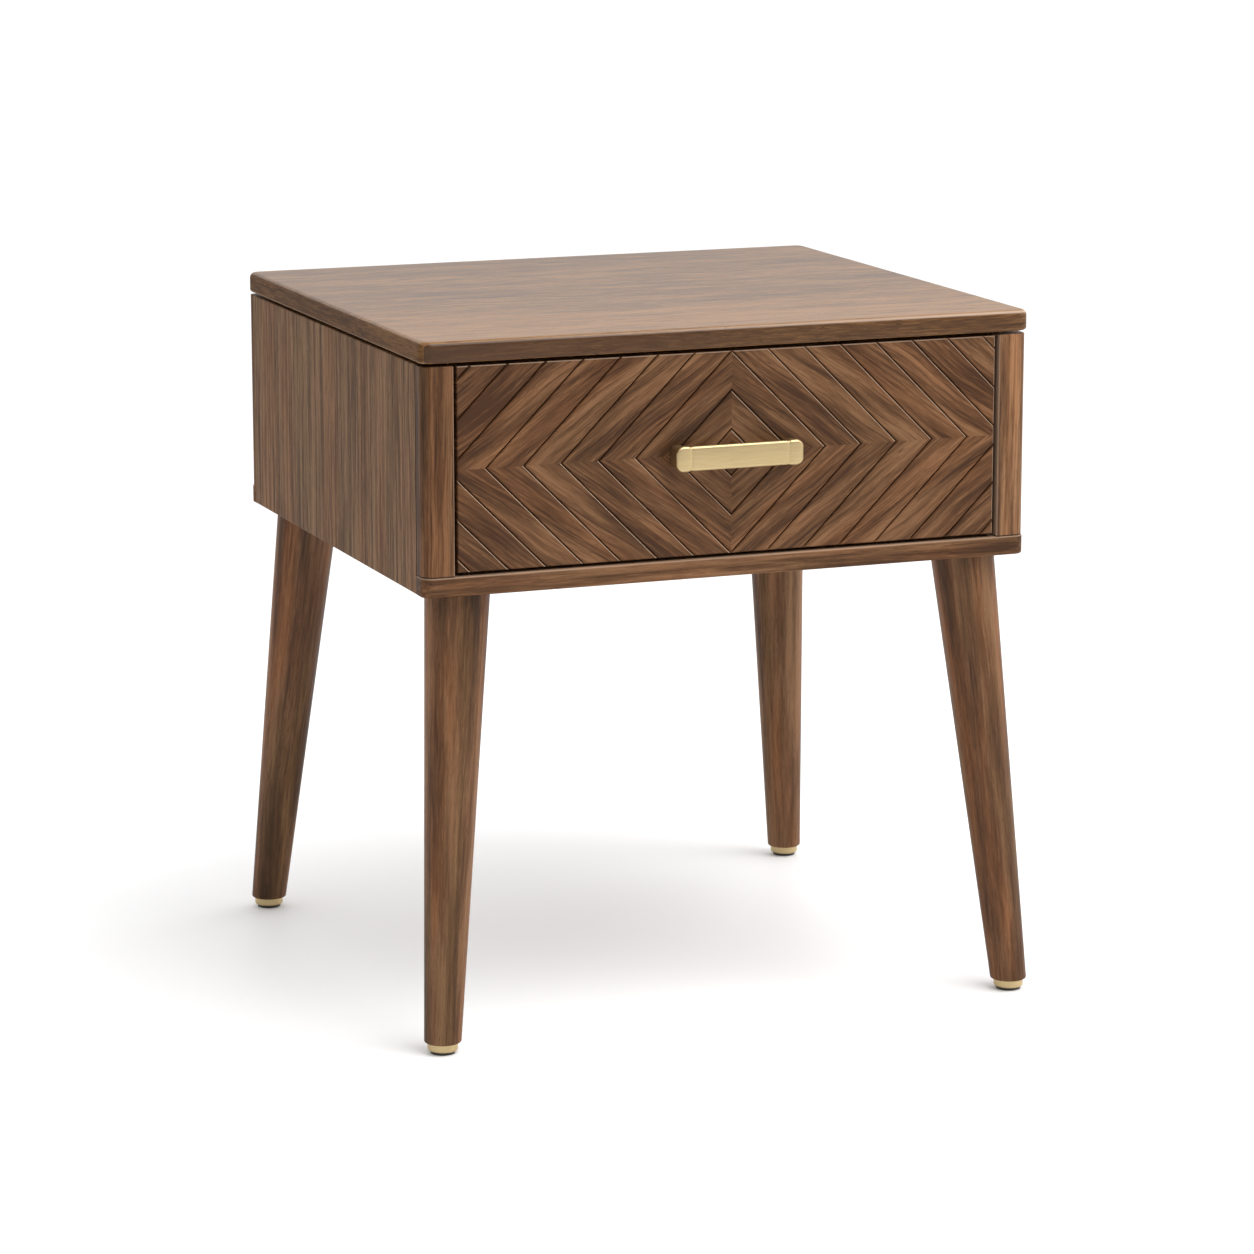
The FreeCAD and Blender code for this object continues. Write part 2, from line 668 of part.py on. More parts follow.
def leg(side, end):
    """A tapered round leg, splayed both ways, cut level at its top and its foot."""
    top, foot, upward = leg_axis(side, end)
    length = (top - foot).Length
    taper = (LEG_TOP_RADIUS - LEG_FOOT_RADIUS) / length
    spare = LEG_TOP_RADIUS
    lower = foot - upward * spare
    low_radius = LEG_FOOT_RADIUS - taper * spare
    high_radius = LEG_TOP_RADIUS + taper * spare
    blank = Part.makeCone(low_radius, high_radius, length + 2 * spare, lower, upward)
    room = LEG_TOP_RADIUS * 3
    level = slab(
        min(top.x, foot.x) - room, max(top.x, foot.x) + room,
        min(top.y, foot.y) - room, max(top.y, foot.y) + room,
        WOOD_FOOT, UNDERSIDE_HEIGHT,
    )
    solid = rounded(blank.common(level), LEG_FOOT_ROUND, level_at(WOOD_FOOT))
    return cut(solid, leg_bolts() + [glide_stem(side, end)])


def glide_stem(side, end):
    """The upright stem that fixes a glide in the end of its leg."""
    _, foot, _ = leg_axis(side, end)
    return rod(foot, foot + UP * GLIDE_STEM_LENGTH, GLIDE_STEM_RADIUS)


def glide(side, end):
    """A metal glide under a leg, with a soft lower edge and a stem in the wood."""
    _, foot, _ = leg_axis(side, end)
    disc = rod(FreeCAD.Vector(foot.x, foot.y, PAD_HEIGHT), foot, GLIDE_RADIUS)
    disc = rounded(disc, GLIDE_ROUND, level_at(PAD_HEIGHT))
    return disc.fuse(glide_stem(side, end)).removeSplitter()


def foot_pad(side, end):
    """A non-slip pad under a glide, which stands on the floor."""
    _, foot, _ = leg_axis(side, end)
    floor = FreeCAD.Vector(foot.x, foot.y, 0)
    solid = rod(floor, FreeCAD.Vector(foot.x, foot.y, PAD_HEIGHT), PAD_RADIUS)
    return rounded(solid, PAD_ROUND, level_at(0))


def leg_block(side, end):
    """A block on the case floor that takes the leg's stud."""
    edge = block_edge(end)
    inner = side * (SIDE_INNER - BLOCK_SIZE)
    solid = slab(inner, side * SIDE_INNER, edge, edge - end * BLOCK_SIZE, FLOOR_UPPER, BLOCK_UPPER)
    return cut(solid, bolt_holes() + insert_holes() + frame_screws() + back_screw_holes())


# ---- Drawer ----

def groove_ring(reach):
    """A V-section groove along a square standing on its corner."""
    slope = GROOVE_WIDTH / math.sqrt(2) / GROOVE_DEPTH
    lift = GROOVE_DEPTH
    rings = []
    for sign in (1, -1):
        wires = []
        for y, size in (
            (FRONT_FACE - lift, reach + sign * slope * (GROOVE_DEPTH + lift)),
            (FRONT_FACE + GROOVE_DEPTH, reach),
        ):
            corners = [(size, 0), (0, size), (-size, 0), (0, -size)]
            points = [FreeCAD.Vector(x, y, FRONT_MIDDLE + z) for x, z in corners]
            wires.append(Part.makePolygon(points + points[:1]))
        rings.append(Part.makeLoft(wires, True, True))
    outer, inner = rings
    return outer.cut(inner)


def groove_reaches():
    """Half-diagonals of the grooved squares, from the centre out past the corners."""
    pitch = (FRONT_HALF_HEIGHT - CENTRE_DIAMOND_REACH) / (FULL_DIAMONDS - 1)
    limit = FRONT_HALF + FRONT_HALF_HEIGHT
    count = math.ceil((limit - CENTRE_DIAMOND_REACH) / pitch)
    return [CENTRE_DIAMOND_REACH + pitch * i for i in range(count)]


def drawer_front():
    """The show front, grooved in nested diamonds that open into chevrons."""
    solid = slab(-FRONT_HALF, FRONT_HALF, FRONT_FACE, FRONT_BACK, FRONT_LOWER, FRONT_UPPER)
    face_edges = [edge for edge in solid.Edges if lies_along(edge, FRONT_FACE)]
    solid = solid.makeFillet(FRONT_EDGE_ROUND, face_edges)
    solid = cut(solid, [groove_ring(reach) for reach in groove_reaches()])
    holes = [pull_screw(side, PULL_SCREW_HOLE_CLEARANCE) for _, side in LEFT_AND_RIGHT]
    return cut(solid, holes + front_screw_holes())


def tray_space(spare):
    """The drawer bottom's own box, grown sideways by the spare in its grooves."""
    half = BOX_HALF - BOX_BOARD + TRAY_GROOVE_DEPTH + spare
    front = FRONT_BACK + BOX_BOARD - TRAY_GROOVE_DEPTH - spare
    rear = BOX_REAR - BOX_BOARD + TRAY_GROOVE_DEPTH + spare
    return slab(-half, half, front, rear, TRAY_LOWER, TRAY_LOWER + TRAY_THICKNESS)


def box_front():
    """The drawer box's own front board, behind the show front."""
    half = BOX_HALF - BOX_BOARD
    solid = slab(-half, half, FRONT_BACK, FRONT_BACK + BOX_BOARD, BOX_LOWER, BOX_UPPER)
    holes = [pull_screw(side, PULL_SCREW_HOLE_CLEARANCE) for _, side in LEFT_AND_RIGHT]
    return cut(solid, [tray_space(TRAY_GROOVE_SPARE)] + box_dowels() + front_screw_holes() + holes)


def box_side(side):
    """A drawer side, with softened upper edges and a groove for the bottom."""
    inner = side * (BOX_HALF - BOX_BOARD)
    outer = side * BOX_HALF
    solid = slab(inner, outer, FRONT_BACK, BOX_REAR, BOX_LOWER, BOX_UPPER)
    top_edges = [
        edge for edge in solid.Edges
        if level_at(BOX_UPPER)(edge.BoundBox) and edge.BoundBox.YLength > 1
    ]
    solid = solid.makeFillet(BOX_EDGE_ROUND, top_edges)
    return cut(solid, [tray_space(TRAY_GROOVE_SPARE)] + box_dowels() + box_runner_screws())


def box_back():
    """The drawer's back board."""
    half = BOX_HALF - BOX_BOARD
    solid = slab(-half, half, BOX_REAR - BOX_BOARD, BOX_REAR, BOX_LOWER, BOX_UPPER)
    return cut(solid, [tray_space(TRAY_GROOVE_SPARE)] + box_dowels())


def pull():
    """A cast bar pull: a soft flat bar with an end block over each leg."""
    half = (PULL_HOLE_SPACING + PULL_LEG_WIDTH) / 2
    bar_front = FRONT_FACE - PULL_PROJECTION
    bar_back = bar_front + PULL_BAR_THICKNESS
    low = FRONT_MIDDLE - PULL_HEIGHT / 2
    high = FRONT_MIDDLE + PULL_HEIGHT / 2
    bar = slab(-half, half, bar_front, bar_back, low, high)
    corners = [edge for edge in bar.Edges if edge.BoundBox.YLength > 1]
    bar = bar.makeFillet(PULL_CORNER_RADIUS, corners)
    bar = bar.makeFillet(PULL_EDGE_ROUND, [edge for edge in bar.Edges if lies_along(edge, bar_front)])
    seams = []
    for _, side in LEFT_AND_RIGHT:
        x = side * (half - PULL_END_BLOCK)
        skin = bar_front + PULL_SEAM_DEPTH
        seams.append(slab(x - PULL_SEAM_WIDTH / 2, x + PULL_SEAM_WIDTH / 2, bar_front, skin, low, high))
    solid = cut(bar, seams)
    for _, side in LEFT_AND_RIGHT:
        outer = side * half
        inner = side * (half - PULL_LEG_WIDTH)
        leg_low = FRONT_MIDDLE - PULL_LEG_HEIGHT / 2
        leg_high = FRONT_MIDDLE + PULL_LEG_HEIGHT / 2
        post = slab(inner, outer, bar_back - PULL_EDGE_ROUND, FRONT_FACE, leg_low, leg_high)
        edges = [edge for edge in post.Edges if edge.BoundBox.YLength > 1]
        solid = solid.fuse(post.makeFillet(PULL_LEG_ROUND, edges))
    return cut(solid.removeSplitter(), [pull_screw(side, 0) for _, side in LEFT_AND_RIGHT])


# ---- Runners ----

def channel(side, web_from, web_to, flange_to, half_height, start, length):
    """A steel channel; distances across are measured inwards from the front post's inside."""
    def across(reach):
        return side * (POST_INNER - reach)
    low = RUNNER_MIDDLE - half_height
    high = RUNNER_MIDDLE + half_height
    end = start + length
    flange_from = web_from if flange_to > web_to else web_to
    web = slab(across(web_from), across(web_to), start, end, low, high)
    lower = slab(across(flange_from), across(flange_to), start, end, low, low + RUNNER_STEEL)
    upper = slab(across(flange_from), across(flange_to), start, end, high - RUNNER_STEEL, high)
    return web.fuse([lower, upper]).removeSplitter()


# Each member's web and the reach of its flanges across the runner, and its half height.
CABINET_WEB = RUNNER_STEEL
CABINET_FLANGE = RUNNER_THICKNESS - CABINET_FLANGE_CLEARANCE
CABINET_HALF = RUNNER_HEIGHT / 2
MIDDLE_WEB_START = RUNNER_STEEL + RUNNER_WEB_CLEARANCE
MIDDLE_WEB_END = MIDDLE_WEB_START + RUNNER_STEEL
MIDDLE_FLANGE = RUNNER_THICKNESS - RUNNER_STEEL - RUNNER_WEB_CLEARANCE
MIDDLE_HALF = CABINET_HALF - RUNNER_STEEL - BALL_ROOM
DRAWER_WEB_START = RUNNER_THICKNESS - RUNNER_STEEL
DRAWER_FLANGE = MIDDLE_WEB_END + RUNNER_WEB_CLEARANCE
DRAWER_HALF = MIDDLE_HALF - RUNNER_STEEL - BALL_ROOM


def case_runner(side):
    """The fixed outer channel, screwed to the packer."""
    solid = channel(side, 0, CABINET_WEB, CABINET_FLANGE, CABINET_HALF, INSIDE_FRONT, RUNNER_LENGTH)
    return cut(solid, case_runner_screws())


def middle_runner(side):
    """The middle channel, which travels half as far as the drawer."""
    return channel(
        side, MIDDLE_WEB_START, MIDDLE_WEB_END, MIDDLE_FLANGE, MIDDLE_HALF, INSIDE_FRONT, MIDDLE_LENGTH
    )


def drawer_runner(side):
    """The inner channel, screwed to the drawer's side, open towards the case."""
    solid = channel(
        side, RUNNER_THICKNESS, DRAWER_WEB_START, DRAWER_FLANGE, DRAWER_HALF, INSIDE_FRONT, RUNNER_LENGTH
    )
    return cut(solid, box_runner_screws())


def cage_strip(length):
    """A strip of ball cage lying along Y from the origin, with its balls."""
    half_width = CAGE_WIDTH / 2
    half_thickness = CAGE_THICKNESS / 2
    strip = slab(-half_width, half_width, 0, length, -half_thickness, half_thickness)
    radius = BALL_ROOM / 2 - BALL_CLEARANCE
    places = spread(BALL_PITCH / 2, length - BALL_PITCH / 2, BALL_PITCH)
    balls = [Part.makeSphere(radius, FreeCAD.Vector(0, y, 0)) for y in places]
    return strip.fuse(balls)


def ball_cages(reach, outer_half):
    """Four cages in the ball room just inside a channel's flanges, at a reach across."""
    length = MIDDLE_LENGTH - RUNNER_TRAVEL / 2 - 2 * CAGE_END_MARGIN
    start = INSIDE_FRONT + RUNNER_TRAVEL / 4 + CAGE_END_MARGIN
    strip = cage_strip(length)
    height = outer_half - RUNNER_STEEL - BALL_ROOM / 2
    cages = []
    for _, side in LEFT_AND_RIGHT:
        for up in (-1, 1):
            cage = strip.copy()
            place = FreeCAD.Vector(side * (POST_INNER - reach), start, RUNNER_MIDDLE + up * height)
            cage.Placement = FreeCAD.Placement(place, FreeCAD.Rotation())
            cages.append(cage)
    return cages


# ---- Writing the pieces ----

def all_parts():
    """Every node's name with its shape, or its list of separate solids."""
    parts = {
        "top_panel": top_panel(),
        "case_floor": case_floor(),
        "front_bottom_rail": bottom_rail(POST_BACK, CASE_FRONT - RAIL_PROUD, FRONT_CORNER_RADIUS),
        "rear_bottom_rail": bottom_rail(REAR_POST_FRONT, CASE_REAR + RAIL_PROUD, REAR_CORNER_RADIUS),
        "back_panel": back_panel(),
        "front_top_stretcher": stretcher(INSIDE_FRONT),
        "rear_top_stretcher": stretcher(BACK_FRONT - STRETCHER_WIDTH),
        "drawer_stop_blocks": stop_blocks(),
        "drawer_stop_pads": stop_pads(),
        "leg_bolts": leg_bolts(),
        "leg_inserts": leg_inserts(),
        "top_screws": top_screws(),
        "frame_screws": frame_screws(),
        "back_panel_screws": back_screws(),
        "case_dowels": case_dowels(),
        "runner_and_packer_screws": case_runner_screws() + packer_screws(),
        "leg_blocks": [leg_block(side, end) for _, side in LEFT_AND_RIGHT for _, end in FRONT_AND_REAR],
        "drawer_front": drawer_front(),
        "drawer_box_front": box_front(),
        "drawer_box_back": box_back(),
        "drawer_bottom": tray_space(0),
        "drawer_pull": pull(),
        "drawer_pull_screws": pull_screws(),
        "drawer_front_screws": front_screws(),
        "drawer_box_dowels": box_dowels(),
        "drawer_runner_screws": box_runner_screws(),
        "outer_ball_cages": ball_cages((MIDDLE_WEB_START + CABINET_FLANGE) / 2, CABINET_HALF),
        "inner_ball_cages": ball_cages((DRAWER_FLANGE + MIDDLE_FLANGE) / 2, MIDDLE_HALF),
    }
    for hand, side in LEFT_AND_RIGHT:
        parts[hand + "_side_panel"] = side_panel(side)
        parts["front_" + hand + "_post"] = front_post(side)
        parts["rear_" + hand + "_post"] = rear_post(side)
        parts[hand + "_top_cleat"] = top_cleat(side)
        parts[hand + "_runner_packer"] = runner_packer(side)
        parts["drawer_" + hand + "_side"] = box_side(side)
        parts[hand + "_case_runner"] = case_runner(side)
        parts[hand + "_middle_runner"] = middle_runner(side)
        parts[hand + "_drawer_runner"] = drawer_runner(side)
        for place, end in FRONT_AND_REAR:
            name = place + "_" + hand
            parts[name + "_leg"] = leg(side, end)
            parts[name + "_glide"] = glide(side, end)
            parts[name + "_foot_pad"] = foot_pad(side, end)
    return parts


def write_parts():
    """One STEP file for each node."""
    os.makedirs("parts", exist_ok=True)
    for name, shape in all_parts().items():
        if isinstance(shape, list):
            shape = Part.makeCompound(shape)
        shape.exportStep("parts/" + name + ".step")


write_parts()
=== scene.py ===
import math

import bpy
from mathutils import Euler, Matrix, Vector


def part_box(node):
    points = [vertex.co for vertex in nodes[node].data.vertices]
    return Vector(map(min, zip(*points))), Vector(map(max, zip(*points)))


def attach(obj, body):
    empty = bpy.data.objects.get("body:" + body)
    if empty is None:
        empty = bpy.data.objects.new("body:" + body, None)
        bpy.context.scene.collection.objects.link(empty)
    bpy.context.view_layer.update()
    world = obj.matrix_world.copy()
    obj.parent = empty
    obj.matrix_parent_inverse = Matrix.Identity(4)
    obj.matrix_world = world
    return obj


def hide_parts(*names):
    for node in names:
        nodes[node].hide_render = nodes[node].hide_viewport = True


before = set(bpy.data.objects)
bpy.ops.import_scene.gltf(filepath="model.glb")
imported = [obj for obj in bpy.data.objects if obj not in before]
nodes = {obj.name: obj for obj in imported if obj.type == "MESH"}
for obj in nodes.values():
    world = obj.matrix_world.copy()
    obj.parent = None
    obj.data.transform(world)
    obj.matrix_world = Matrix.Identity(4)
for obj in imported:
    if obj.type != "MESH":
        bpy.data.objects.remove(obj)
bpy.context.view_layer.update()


# ---- Finishes: a small language for shader maths ----

# The colour sockets of a Mix node, by number because its other kinds share their names.
MIX_FIRST = 6
MIX_SECOND = 7
MIX_RESULT = 2


class Amount:
    """A number that changes over a surface; arithmetic on it adds Math nodes."""

    def __init__(self, finish, socket):
        self.finish = finish
        self.socket = socket

    def apply(self, operation, *others):
        inputs = {0: self}
        for place, other in enumerate(others, 1):
            inputs[place] = other
        return self.finish.node("ShaderNodeMath", {"operation": operation}, inputs)

    def __add__(self, other):
        return self.apply("ADD", other)

    __radd__ = __add__

    def __mul__(self, other):
        return self.apply("MULTIPLY", other)

    __rmul__ = __mul__

    def __sub__(self, other):
        return self.apply("SUBTRACT", other)

    def __rsub__(self, other):
        return self.finish.node("ShaderNodeMath", {"operation": "SUBTRACT"}, {0: other, 1: self})

    def __neg__(self):
        return 0 - self

    def __abs__(self):
        return self.apply("ABSOLUTE")

    def above(self, limit):
        """1 over the limit and 0 under it."""
        return self.apply("GREATER_THAN", limit)

    def most(self, other):
        return self.apply("MAXIMUM", other)

    def ease(self, start, end):
        """0 before start, 1 after end and a smooth step between."""
        settings = {"interpolation_type": "SMOOTHSTEP", "clamp": True}
        inputs = {"Value": self, "From Min": start, "From Max": end}
        return self.finish.node("ShaderNodeMapRange", settings, inputs)


class Finish:
    """The nodes of one material or world: one method adds them, and sockets are set by name."""

    def __init__(self, owner, shader):
        owner.use_nodes = True
        self.owner = owner
        self.tree = owner.node_tree
        self.shader = self.tree.nodes[shader]

    def node(self, kind, settings, inputs, output=0):
        made = self.tree.nodes.new(kind)
        for key, value in settings.items():
            if key == "stops":
                self.set_stops(made.color_ramp, value)
            else:
                setattr(made, key, value)
        self.fill(made, inputs)
        return Amount(self, made.outputs[output])

    def fill(self, made, inputs):
        for key, value in inputs.items():
            if isinstance(value, Amount):
                self.tree.links.new(value.socket, made.inputs[key])
            else:
                made.inputs[key].default_value = value

    def set_stops(self, ramp, stops):
        while len(ramp.elements) < len(stops):
            ramp.elements.new(0.5)
        for element, (position, colour) in zip(ramp.elements, stops):
            element.position = position
            element.color = (*colour, 1)

    def parts(self, vector):
        split = self.node("ShaderNodeSeparateXYZ", {}, {0: vector}).socket.node
        return [Amount(self, socket) for socket in split.outputs]

    def coordinates(self):
        """The three Object coordinates, in metres."""
        return self.parts(self.node("ShaderNodeTexCoord", {}, {}, output="Object"))

    def facing(self):
        """The three parts of the way the surface looks, each from -1 to 1."""
        return self.parts(self.node("ShaderNodeTexCoord", {}, {}, output="Normal"))

    def vector(self, x, y, z):
        return self.node("ShaderNodeCombineXYZ", {}, {0: x, 1: y, 2: z})

    def noise(self, vector, detail, roughness=0.5, scale=1.0):
        inputs = {"Vector": vector, "Scale": scale, "Detail": detail, "Roughness": roughness}
        return self.node("ShaderNodeTexNoise", {"noise_dimensions": "3D"}, inputs)

    def blend(self, factor, first, second, how="MIX"):
        """A colour between two colours, or one laid on the other."""
        settings = {"data_type": "RGBA", "blend_type": how}
        inputs = {0: factor, MIX_FIRST: opaque(first), MIX_SECOND: opaque(second)}
        return self.node("ShaderNodeMix", settings, inputs, output=MIX_RESULT)

    def ramp(self, amount, stops):
        return self.node("ShaderNodeValToRGB", {"stops": stops}, {0: amount})

    def bump(self, height, distance, strength):
        inputs = {"Height": height, "Distance": distance, "Strength": strength}
        return self.node("ShaderNodeBump", {}, inputs)

    def give(self, **inputs):
        """Sets the shader's own sockets, named with _ for spaces, and hands over what was made."""
        self.fill(self.shader, {key.replace("_", " "): value for key, value in inputs.items()})
        return self.owner


def start_finish(name):
    return Finish(bpy.data.materials.new(name), "Principled BSDF")


def opaque(colour):
    return colour if isinstance(colour, Amount) else (*colour, 1)


def grey(level):
    return (level, level, level)


def grain_places(finish, grain_axis):
    """The places along the grain, across it and deep into the board, in metres."""
    x, y, z = finish.coordinates()
    return {"x": (x, y, z), "y": (y, x, z), "z": (z, y, x)}[grain_axis]


def streaks(finish, grain, rates, detail, roughness=0.5):
    """Noise drawn out along the grain, from 0 to 1; rates are per metre, along and across."""
    along, across, deep = grain
    rate_along, rate_across = rates
    place = finish.vector(along * rate_along, across * rate_across, deep * rate_across)
    return finish.noise(place, detail, roughness)


# ---- Walnut ----

# Tones from late wood to the palest early wood; the tone of pores, which also paints shade in joints and
# darkens the grooves; and the colour of painted highlights and reflections on rounded edges.
DARK_WOOD = (0.054, 0.0245, 0.0120)
BROWN_WOOD = (0.118, 0.055, 0.0250)
PALE_WOOD = (0.215, 0.108, 0.0530)
PORE_AND_SHADE_TONE = (0.018, 0.008, 0.004)
PAINTED_HIGHLIGHT = (0.44, 0.31, 0.22)
TONE_STOPS = [(0.34, DARK_WOOD), (0.50, BROWN_WOOD), (0.68, PALE_WOOD)]

# Tints that multiply the tones: those that drift over every board, and those of single pieces, among them
# the painted light and shade of the front posts.
WARM_TINT = (1.15, 0.97, 0.82)
GREY_TINT = (0.87, 0.94, 0.88)
HUE_STOPS = [(0.38, GREY_TINT), (0.50, grey(1.0)), (0.62, WARM_TINT)]
TOP_TINT = (1.03, 1.00, 0.72)
SIDE_TINT = (1.05, 1.17, 1.26)
# Painted shade and painted light: the left front post is painted darker and the right one much brighter.
LEFT_POST_PAINTED_SHADE = grey(0.86)
RIGHT_POST_PAINTED_LIGHT = (1.38, 1.45, 1.52)

# Streaks in a metre, along the grain and across it.
LINE_RATES = (26, 560)
FIBRE_RATES = (75, 1500)
PORE_RATES = (120, 2400)

# How much each layer of the figure moves the tone.
BAND_SHARE = 0.80
STRIPE_SHARE = 0.55
LINE_SHARE = 0.40
FIBRE_SHARE = 0.22

# How far along the grain the drift in hue is taken from, in bands, so that it is free of the tone.
HUE_APART = 5.875

# How far across the grain a board is cut for each metre along it.
LOG_SLANT = 0.31

# The painted shade along a joint: its half width, and where it has faded out.
JOINT_HALF = 0.0005
JOINT_CLEAR = 0.0013

# Lacquer over open grain.
GRAIN_RELIEF = 0.00010
GRAIN_RELIEF_STRENGTH = 0.5
LACQUER_ROUGHNESS = 0.24
LACQUER_IOR = 1.45


def walnut(finish, grain, band, length, wave=0.3, broad=1.0, stripe=1.0, fine=1.0, hue=0.5, pale=0.0):
    """The colour, roughness and relief of walnut.

    grain holds the places along the grain, across it and deep into the board. band and length are
    the number of tone bands in a metre across and along the grain, and wave is how far they wander,
    in band widths. broad, stripe, fine and hue are how strongly the bands, the narrow stripes, the
    fibres and the drift in hue show. pale lightens the wood.
    """
    along, across, deep = grain
    wander = streaks(finish, grain, (length * 1.1, band * 0.22), 2) - 0.5
    across = across + wander * (wave * 4 / band)
    grain = (along, across, deep)
    bands = streaks(finish, grain, (length, band), 2) - 0.5
    stripes = streaks(finish, grain, (length * 1.7, band * 5), 4, 0.62) - 0.5
    lines = streaks(finish, grain, LINE_RATES, 3, 0.6) - 0.5
    fibres = streaks(finish, grain, FIBRE_RATES, 2, 0.6) - 0.5
    tone = 0.5 + pale + bands * (BAND_SHARE * broad) + stripes * (STRIPE_SHARE * stripe)
    tone = tone + lines * (LINE_SHARE * fine) + fibres * (FIBRE_SHARE * fine)
    colour = finish.ramp(tone, TONE_STOPS)
    elsewhere = (along + HUE_APART / length, across, deep)
    drift = streaks(finish, elsewhere, (length * 0.8, band * 0.8), 2)
    colour = finish.blend(hue, colour, finish.ramp(drift, HUE_STOPS), "MULTIPLY")
    pores = streaks(finish, grain, PORE_RATES, 1).ease(0.60, 0.70) * lines.ease(-0.02, 0.10)
    colour = finish.blend(pores * (0.55 * fine), colour, PORE_AND_SHADE_TONE)
    rough = 0.47 + stripes * 0.16 + pores * 0.2
    relief = fibres * 0.4 - pores
    return colour, rough, relief


def cut_from(grain, shift):
    """The same board cut from another place in the log, so that no two boards match."""
    along, across, deep = grain
    return along + shift, across + shift * LOG_SLANT, deep


def painted_joint_shade(finish, colour, from_joint):
    """Painted shade: wood darkened in the narrow hollow where two pieces meet."""
    near = 1 - abs(from_joint).ease(JOINT_HALF, JOINT_CLEAR)
    return finish.blend(near * 0.85, colour, PORE_AND_SHADE_TONE)


def lacquer(finish, colour, rough, relief, gloss=0.25):
    """Puts walnut on the shader under a thin satin lacquer."""
    return finish.give(
        Base_Color=colour,
        Roughness=rough,
        Normal=finish.bump(relief, GRAIN_RELIEF, GRAIN_RELIEF_STRENGTH),
        Specular_IOR_Level=0.0,
        Coat_Weight=gloss,
        Coat_Roughness=LACQUER_ROUGHNESS,
        Coat_IOR=LACQUER_IOR,
    )


def walnut_board(name, grain_axis, shift, **figure):
    """Walnut for a straight board, with its grain along x, y or z."""
    finish = start_finish(name)
    grain = cut_from(grain_places(finish, grain_axis), shift)
    return lacquer(finish, *walnut(finish, grain, **figure))


# ---- The top ----

# How squarely a face has to look one way to count as an edge of the top.
SQUARE_ON = 0.72
TOP_GLOSS = 0.52
TOP_END_GLOSS = 0.16


def walnut_top():
    """The top's grain runs across the table, and from front to back along each end edge."""
    finish = start_finish("walnut_top")
    x, y, z = finish.coordinates()
    facing_x, facing_y, facing_z = finish.facing()
    end = abs(facing_x).above(SQUARE_ON)
    front = (-facing_y).above(SQUARE_ON)
    along = x * (1 - end) + y * end + 0.4
    across = y * (1 - end)
    # Painted light: the top is painted paler towards its front.
    painted_front_light = (-y).ease(0.02, 0.20) * (1 - front)
    colour, rough, relief = walnut(
        finish, (along, across, z + end * 0.3), band=38, length=5.5, wave=0.2,
        broad=0.36, stripe=0.7, fine=2.0, hue=0.1, pale=painted_front_light * 0.12,
    )
    colour = finish.blend(1, colour, TOP_TINT, "MULTIPLY")
    # Painted shade: the end edges and the front edge are painted darker, the front edge most to the left.
    shade = (end * 0.45 + front * (0.56 - x * 1.1)).most(0)
    colour = finish.blend(shade, colour, DARK_WOOD)
    # Painted highlight along the upper rounding of the front, brighter to the right, and a painted
    # reflection along the lower rounding of the left end.
    painted_front_highlight = facing_z.ease(0.40, 0.65) * (-facing_y).ease(0.25, 0.6) * (0.35 + x * 1.6)
    painted_left_reflection = (-facing_z).ease(0.35, 0.65) * (-facing_x).ease(0.3, 0.6) * 0.35
    colour = finish.blend(painted_front_highlight.most(painted_left_reflection), colour, PAINTED_HIGHLIGHT)
    return lacquer(finish, colour, rough, relief, gloss=TOP_GLOSS - end * (TOP_GLOSS - TOP_END_GLOSS))


# ---- Case sides, front posts and rails ----

POST_LOW, POST_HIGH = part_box("front_left_post")
RAIL_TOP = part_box("front_bottom_rail")[1].z
SIDE_GLOSS = 0.16

# How far from its edge the painted highlight on an arris is full, and where it has faded out.
POST_ARRIS_FULL = 0.0004
POST_ARRIS_CLEAR = 0.0010
RAIL_ARRIS_FULL = 0.0006
RAIL_ARRIS_CLEAR = 0.0014


def walnut_side(name, shift):
    """A side panel of wide quiet leaves, with painted shade in its joint with the front post."""
    finish = start_finish(name)
    x, y, z = finish.coordinates()
    grain = cut_from((z, y, x), shift)
    colour, rough, relief = walnut(
        finish, grain, band=34, length=3.2, wave=0.1,
        broad=0.45, stripe=1.5, fine=1.5, hue=0.4, pale=0.025,
    )
    colour = finish.blend(1, colour, SIDE_TINT, "MULTIPLY")
    colour = painted_joint_shade(finish, colour, y - POST_HIGH.y)
    return lacquer(finish, colour, rough, relief, gloss=SIDE_GLOSS)


def walnut_post(name, shift, painted_light_tint):
    """A front post, with painted shade in its joints, a painted highlight on the arris beside the drawer,
    and painted light that darkens the left post and brightens the right.
    """
    finish = start_finish(name)
    x, y, z = finish.coordinates()
    grain = cut_from((z, x, y), shift)
    colour, rough, relief = walnut(finish, grain, band=110, length=6, wave=0.2, stripe=1.2)
    # Painted light and shade: the left post is painted darker, the right much brighter.
    colour = finish.blend(1, colour, painted_light_tint, "MULTIPLY")
    # Painted highlight along the arris beside the drawer.
    from_drawer = abs(x) - abs(POST_HIGH.x)
    arris = 1 - from_drawer.ease(POST_ARRIS_FULL, POST_ARRIS_CLEAR)
    colour = finish.blend(arris * 0.45, colour, PAINTED_HIGHLIGHT)
    colour = painted_joint_shade(finish, colour, y - POST_HIGH.y)
    colour = painted_joint_shade(finish, colour, z - POST_LOW.z)
    return lacquer(finish, colour, rough, relief)


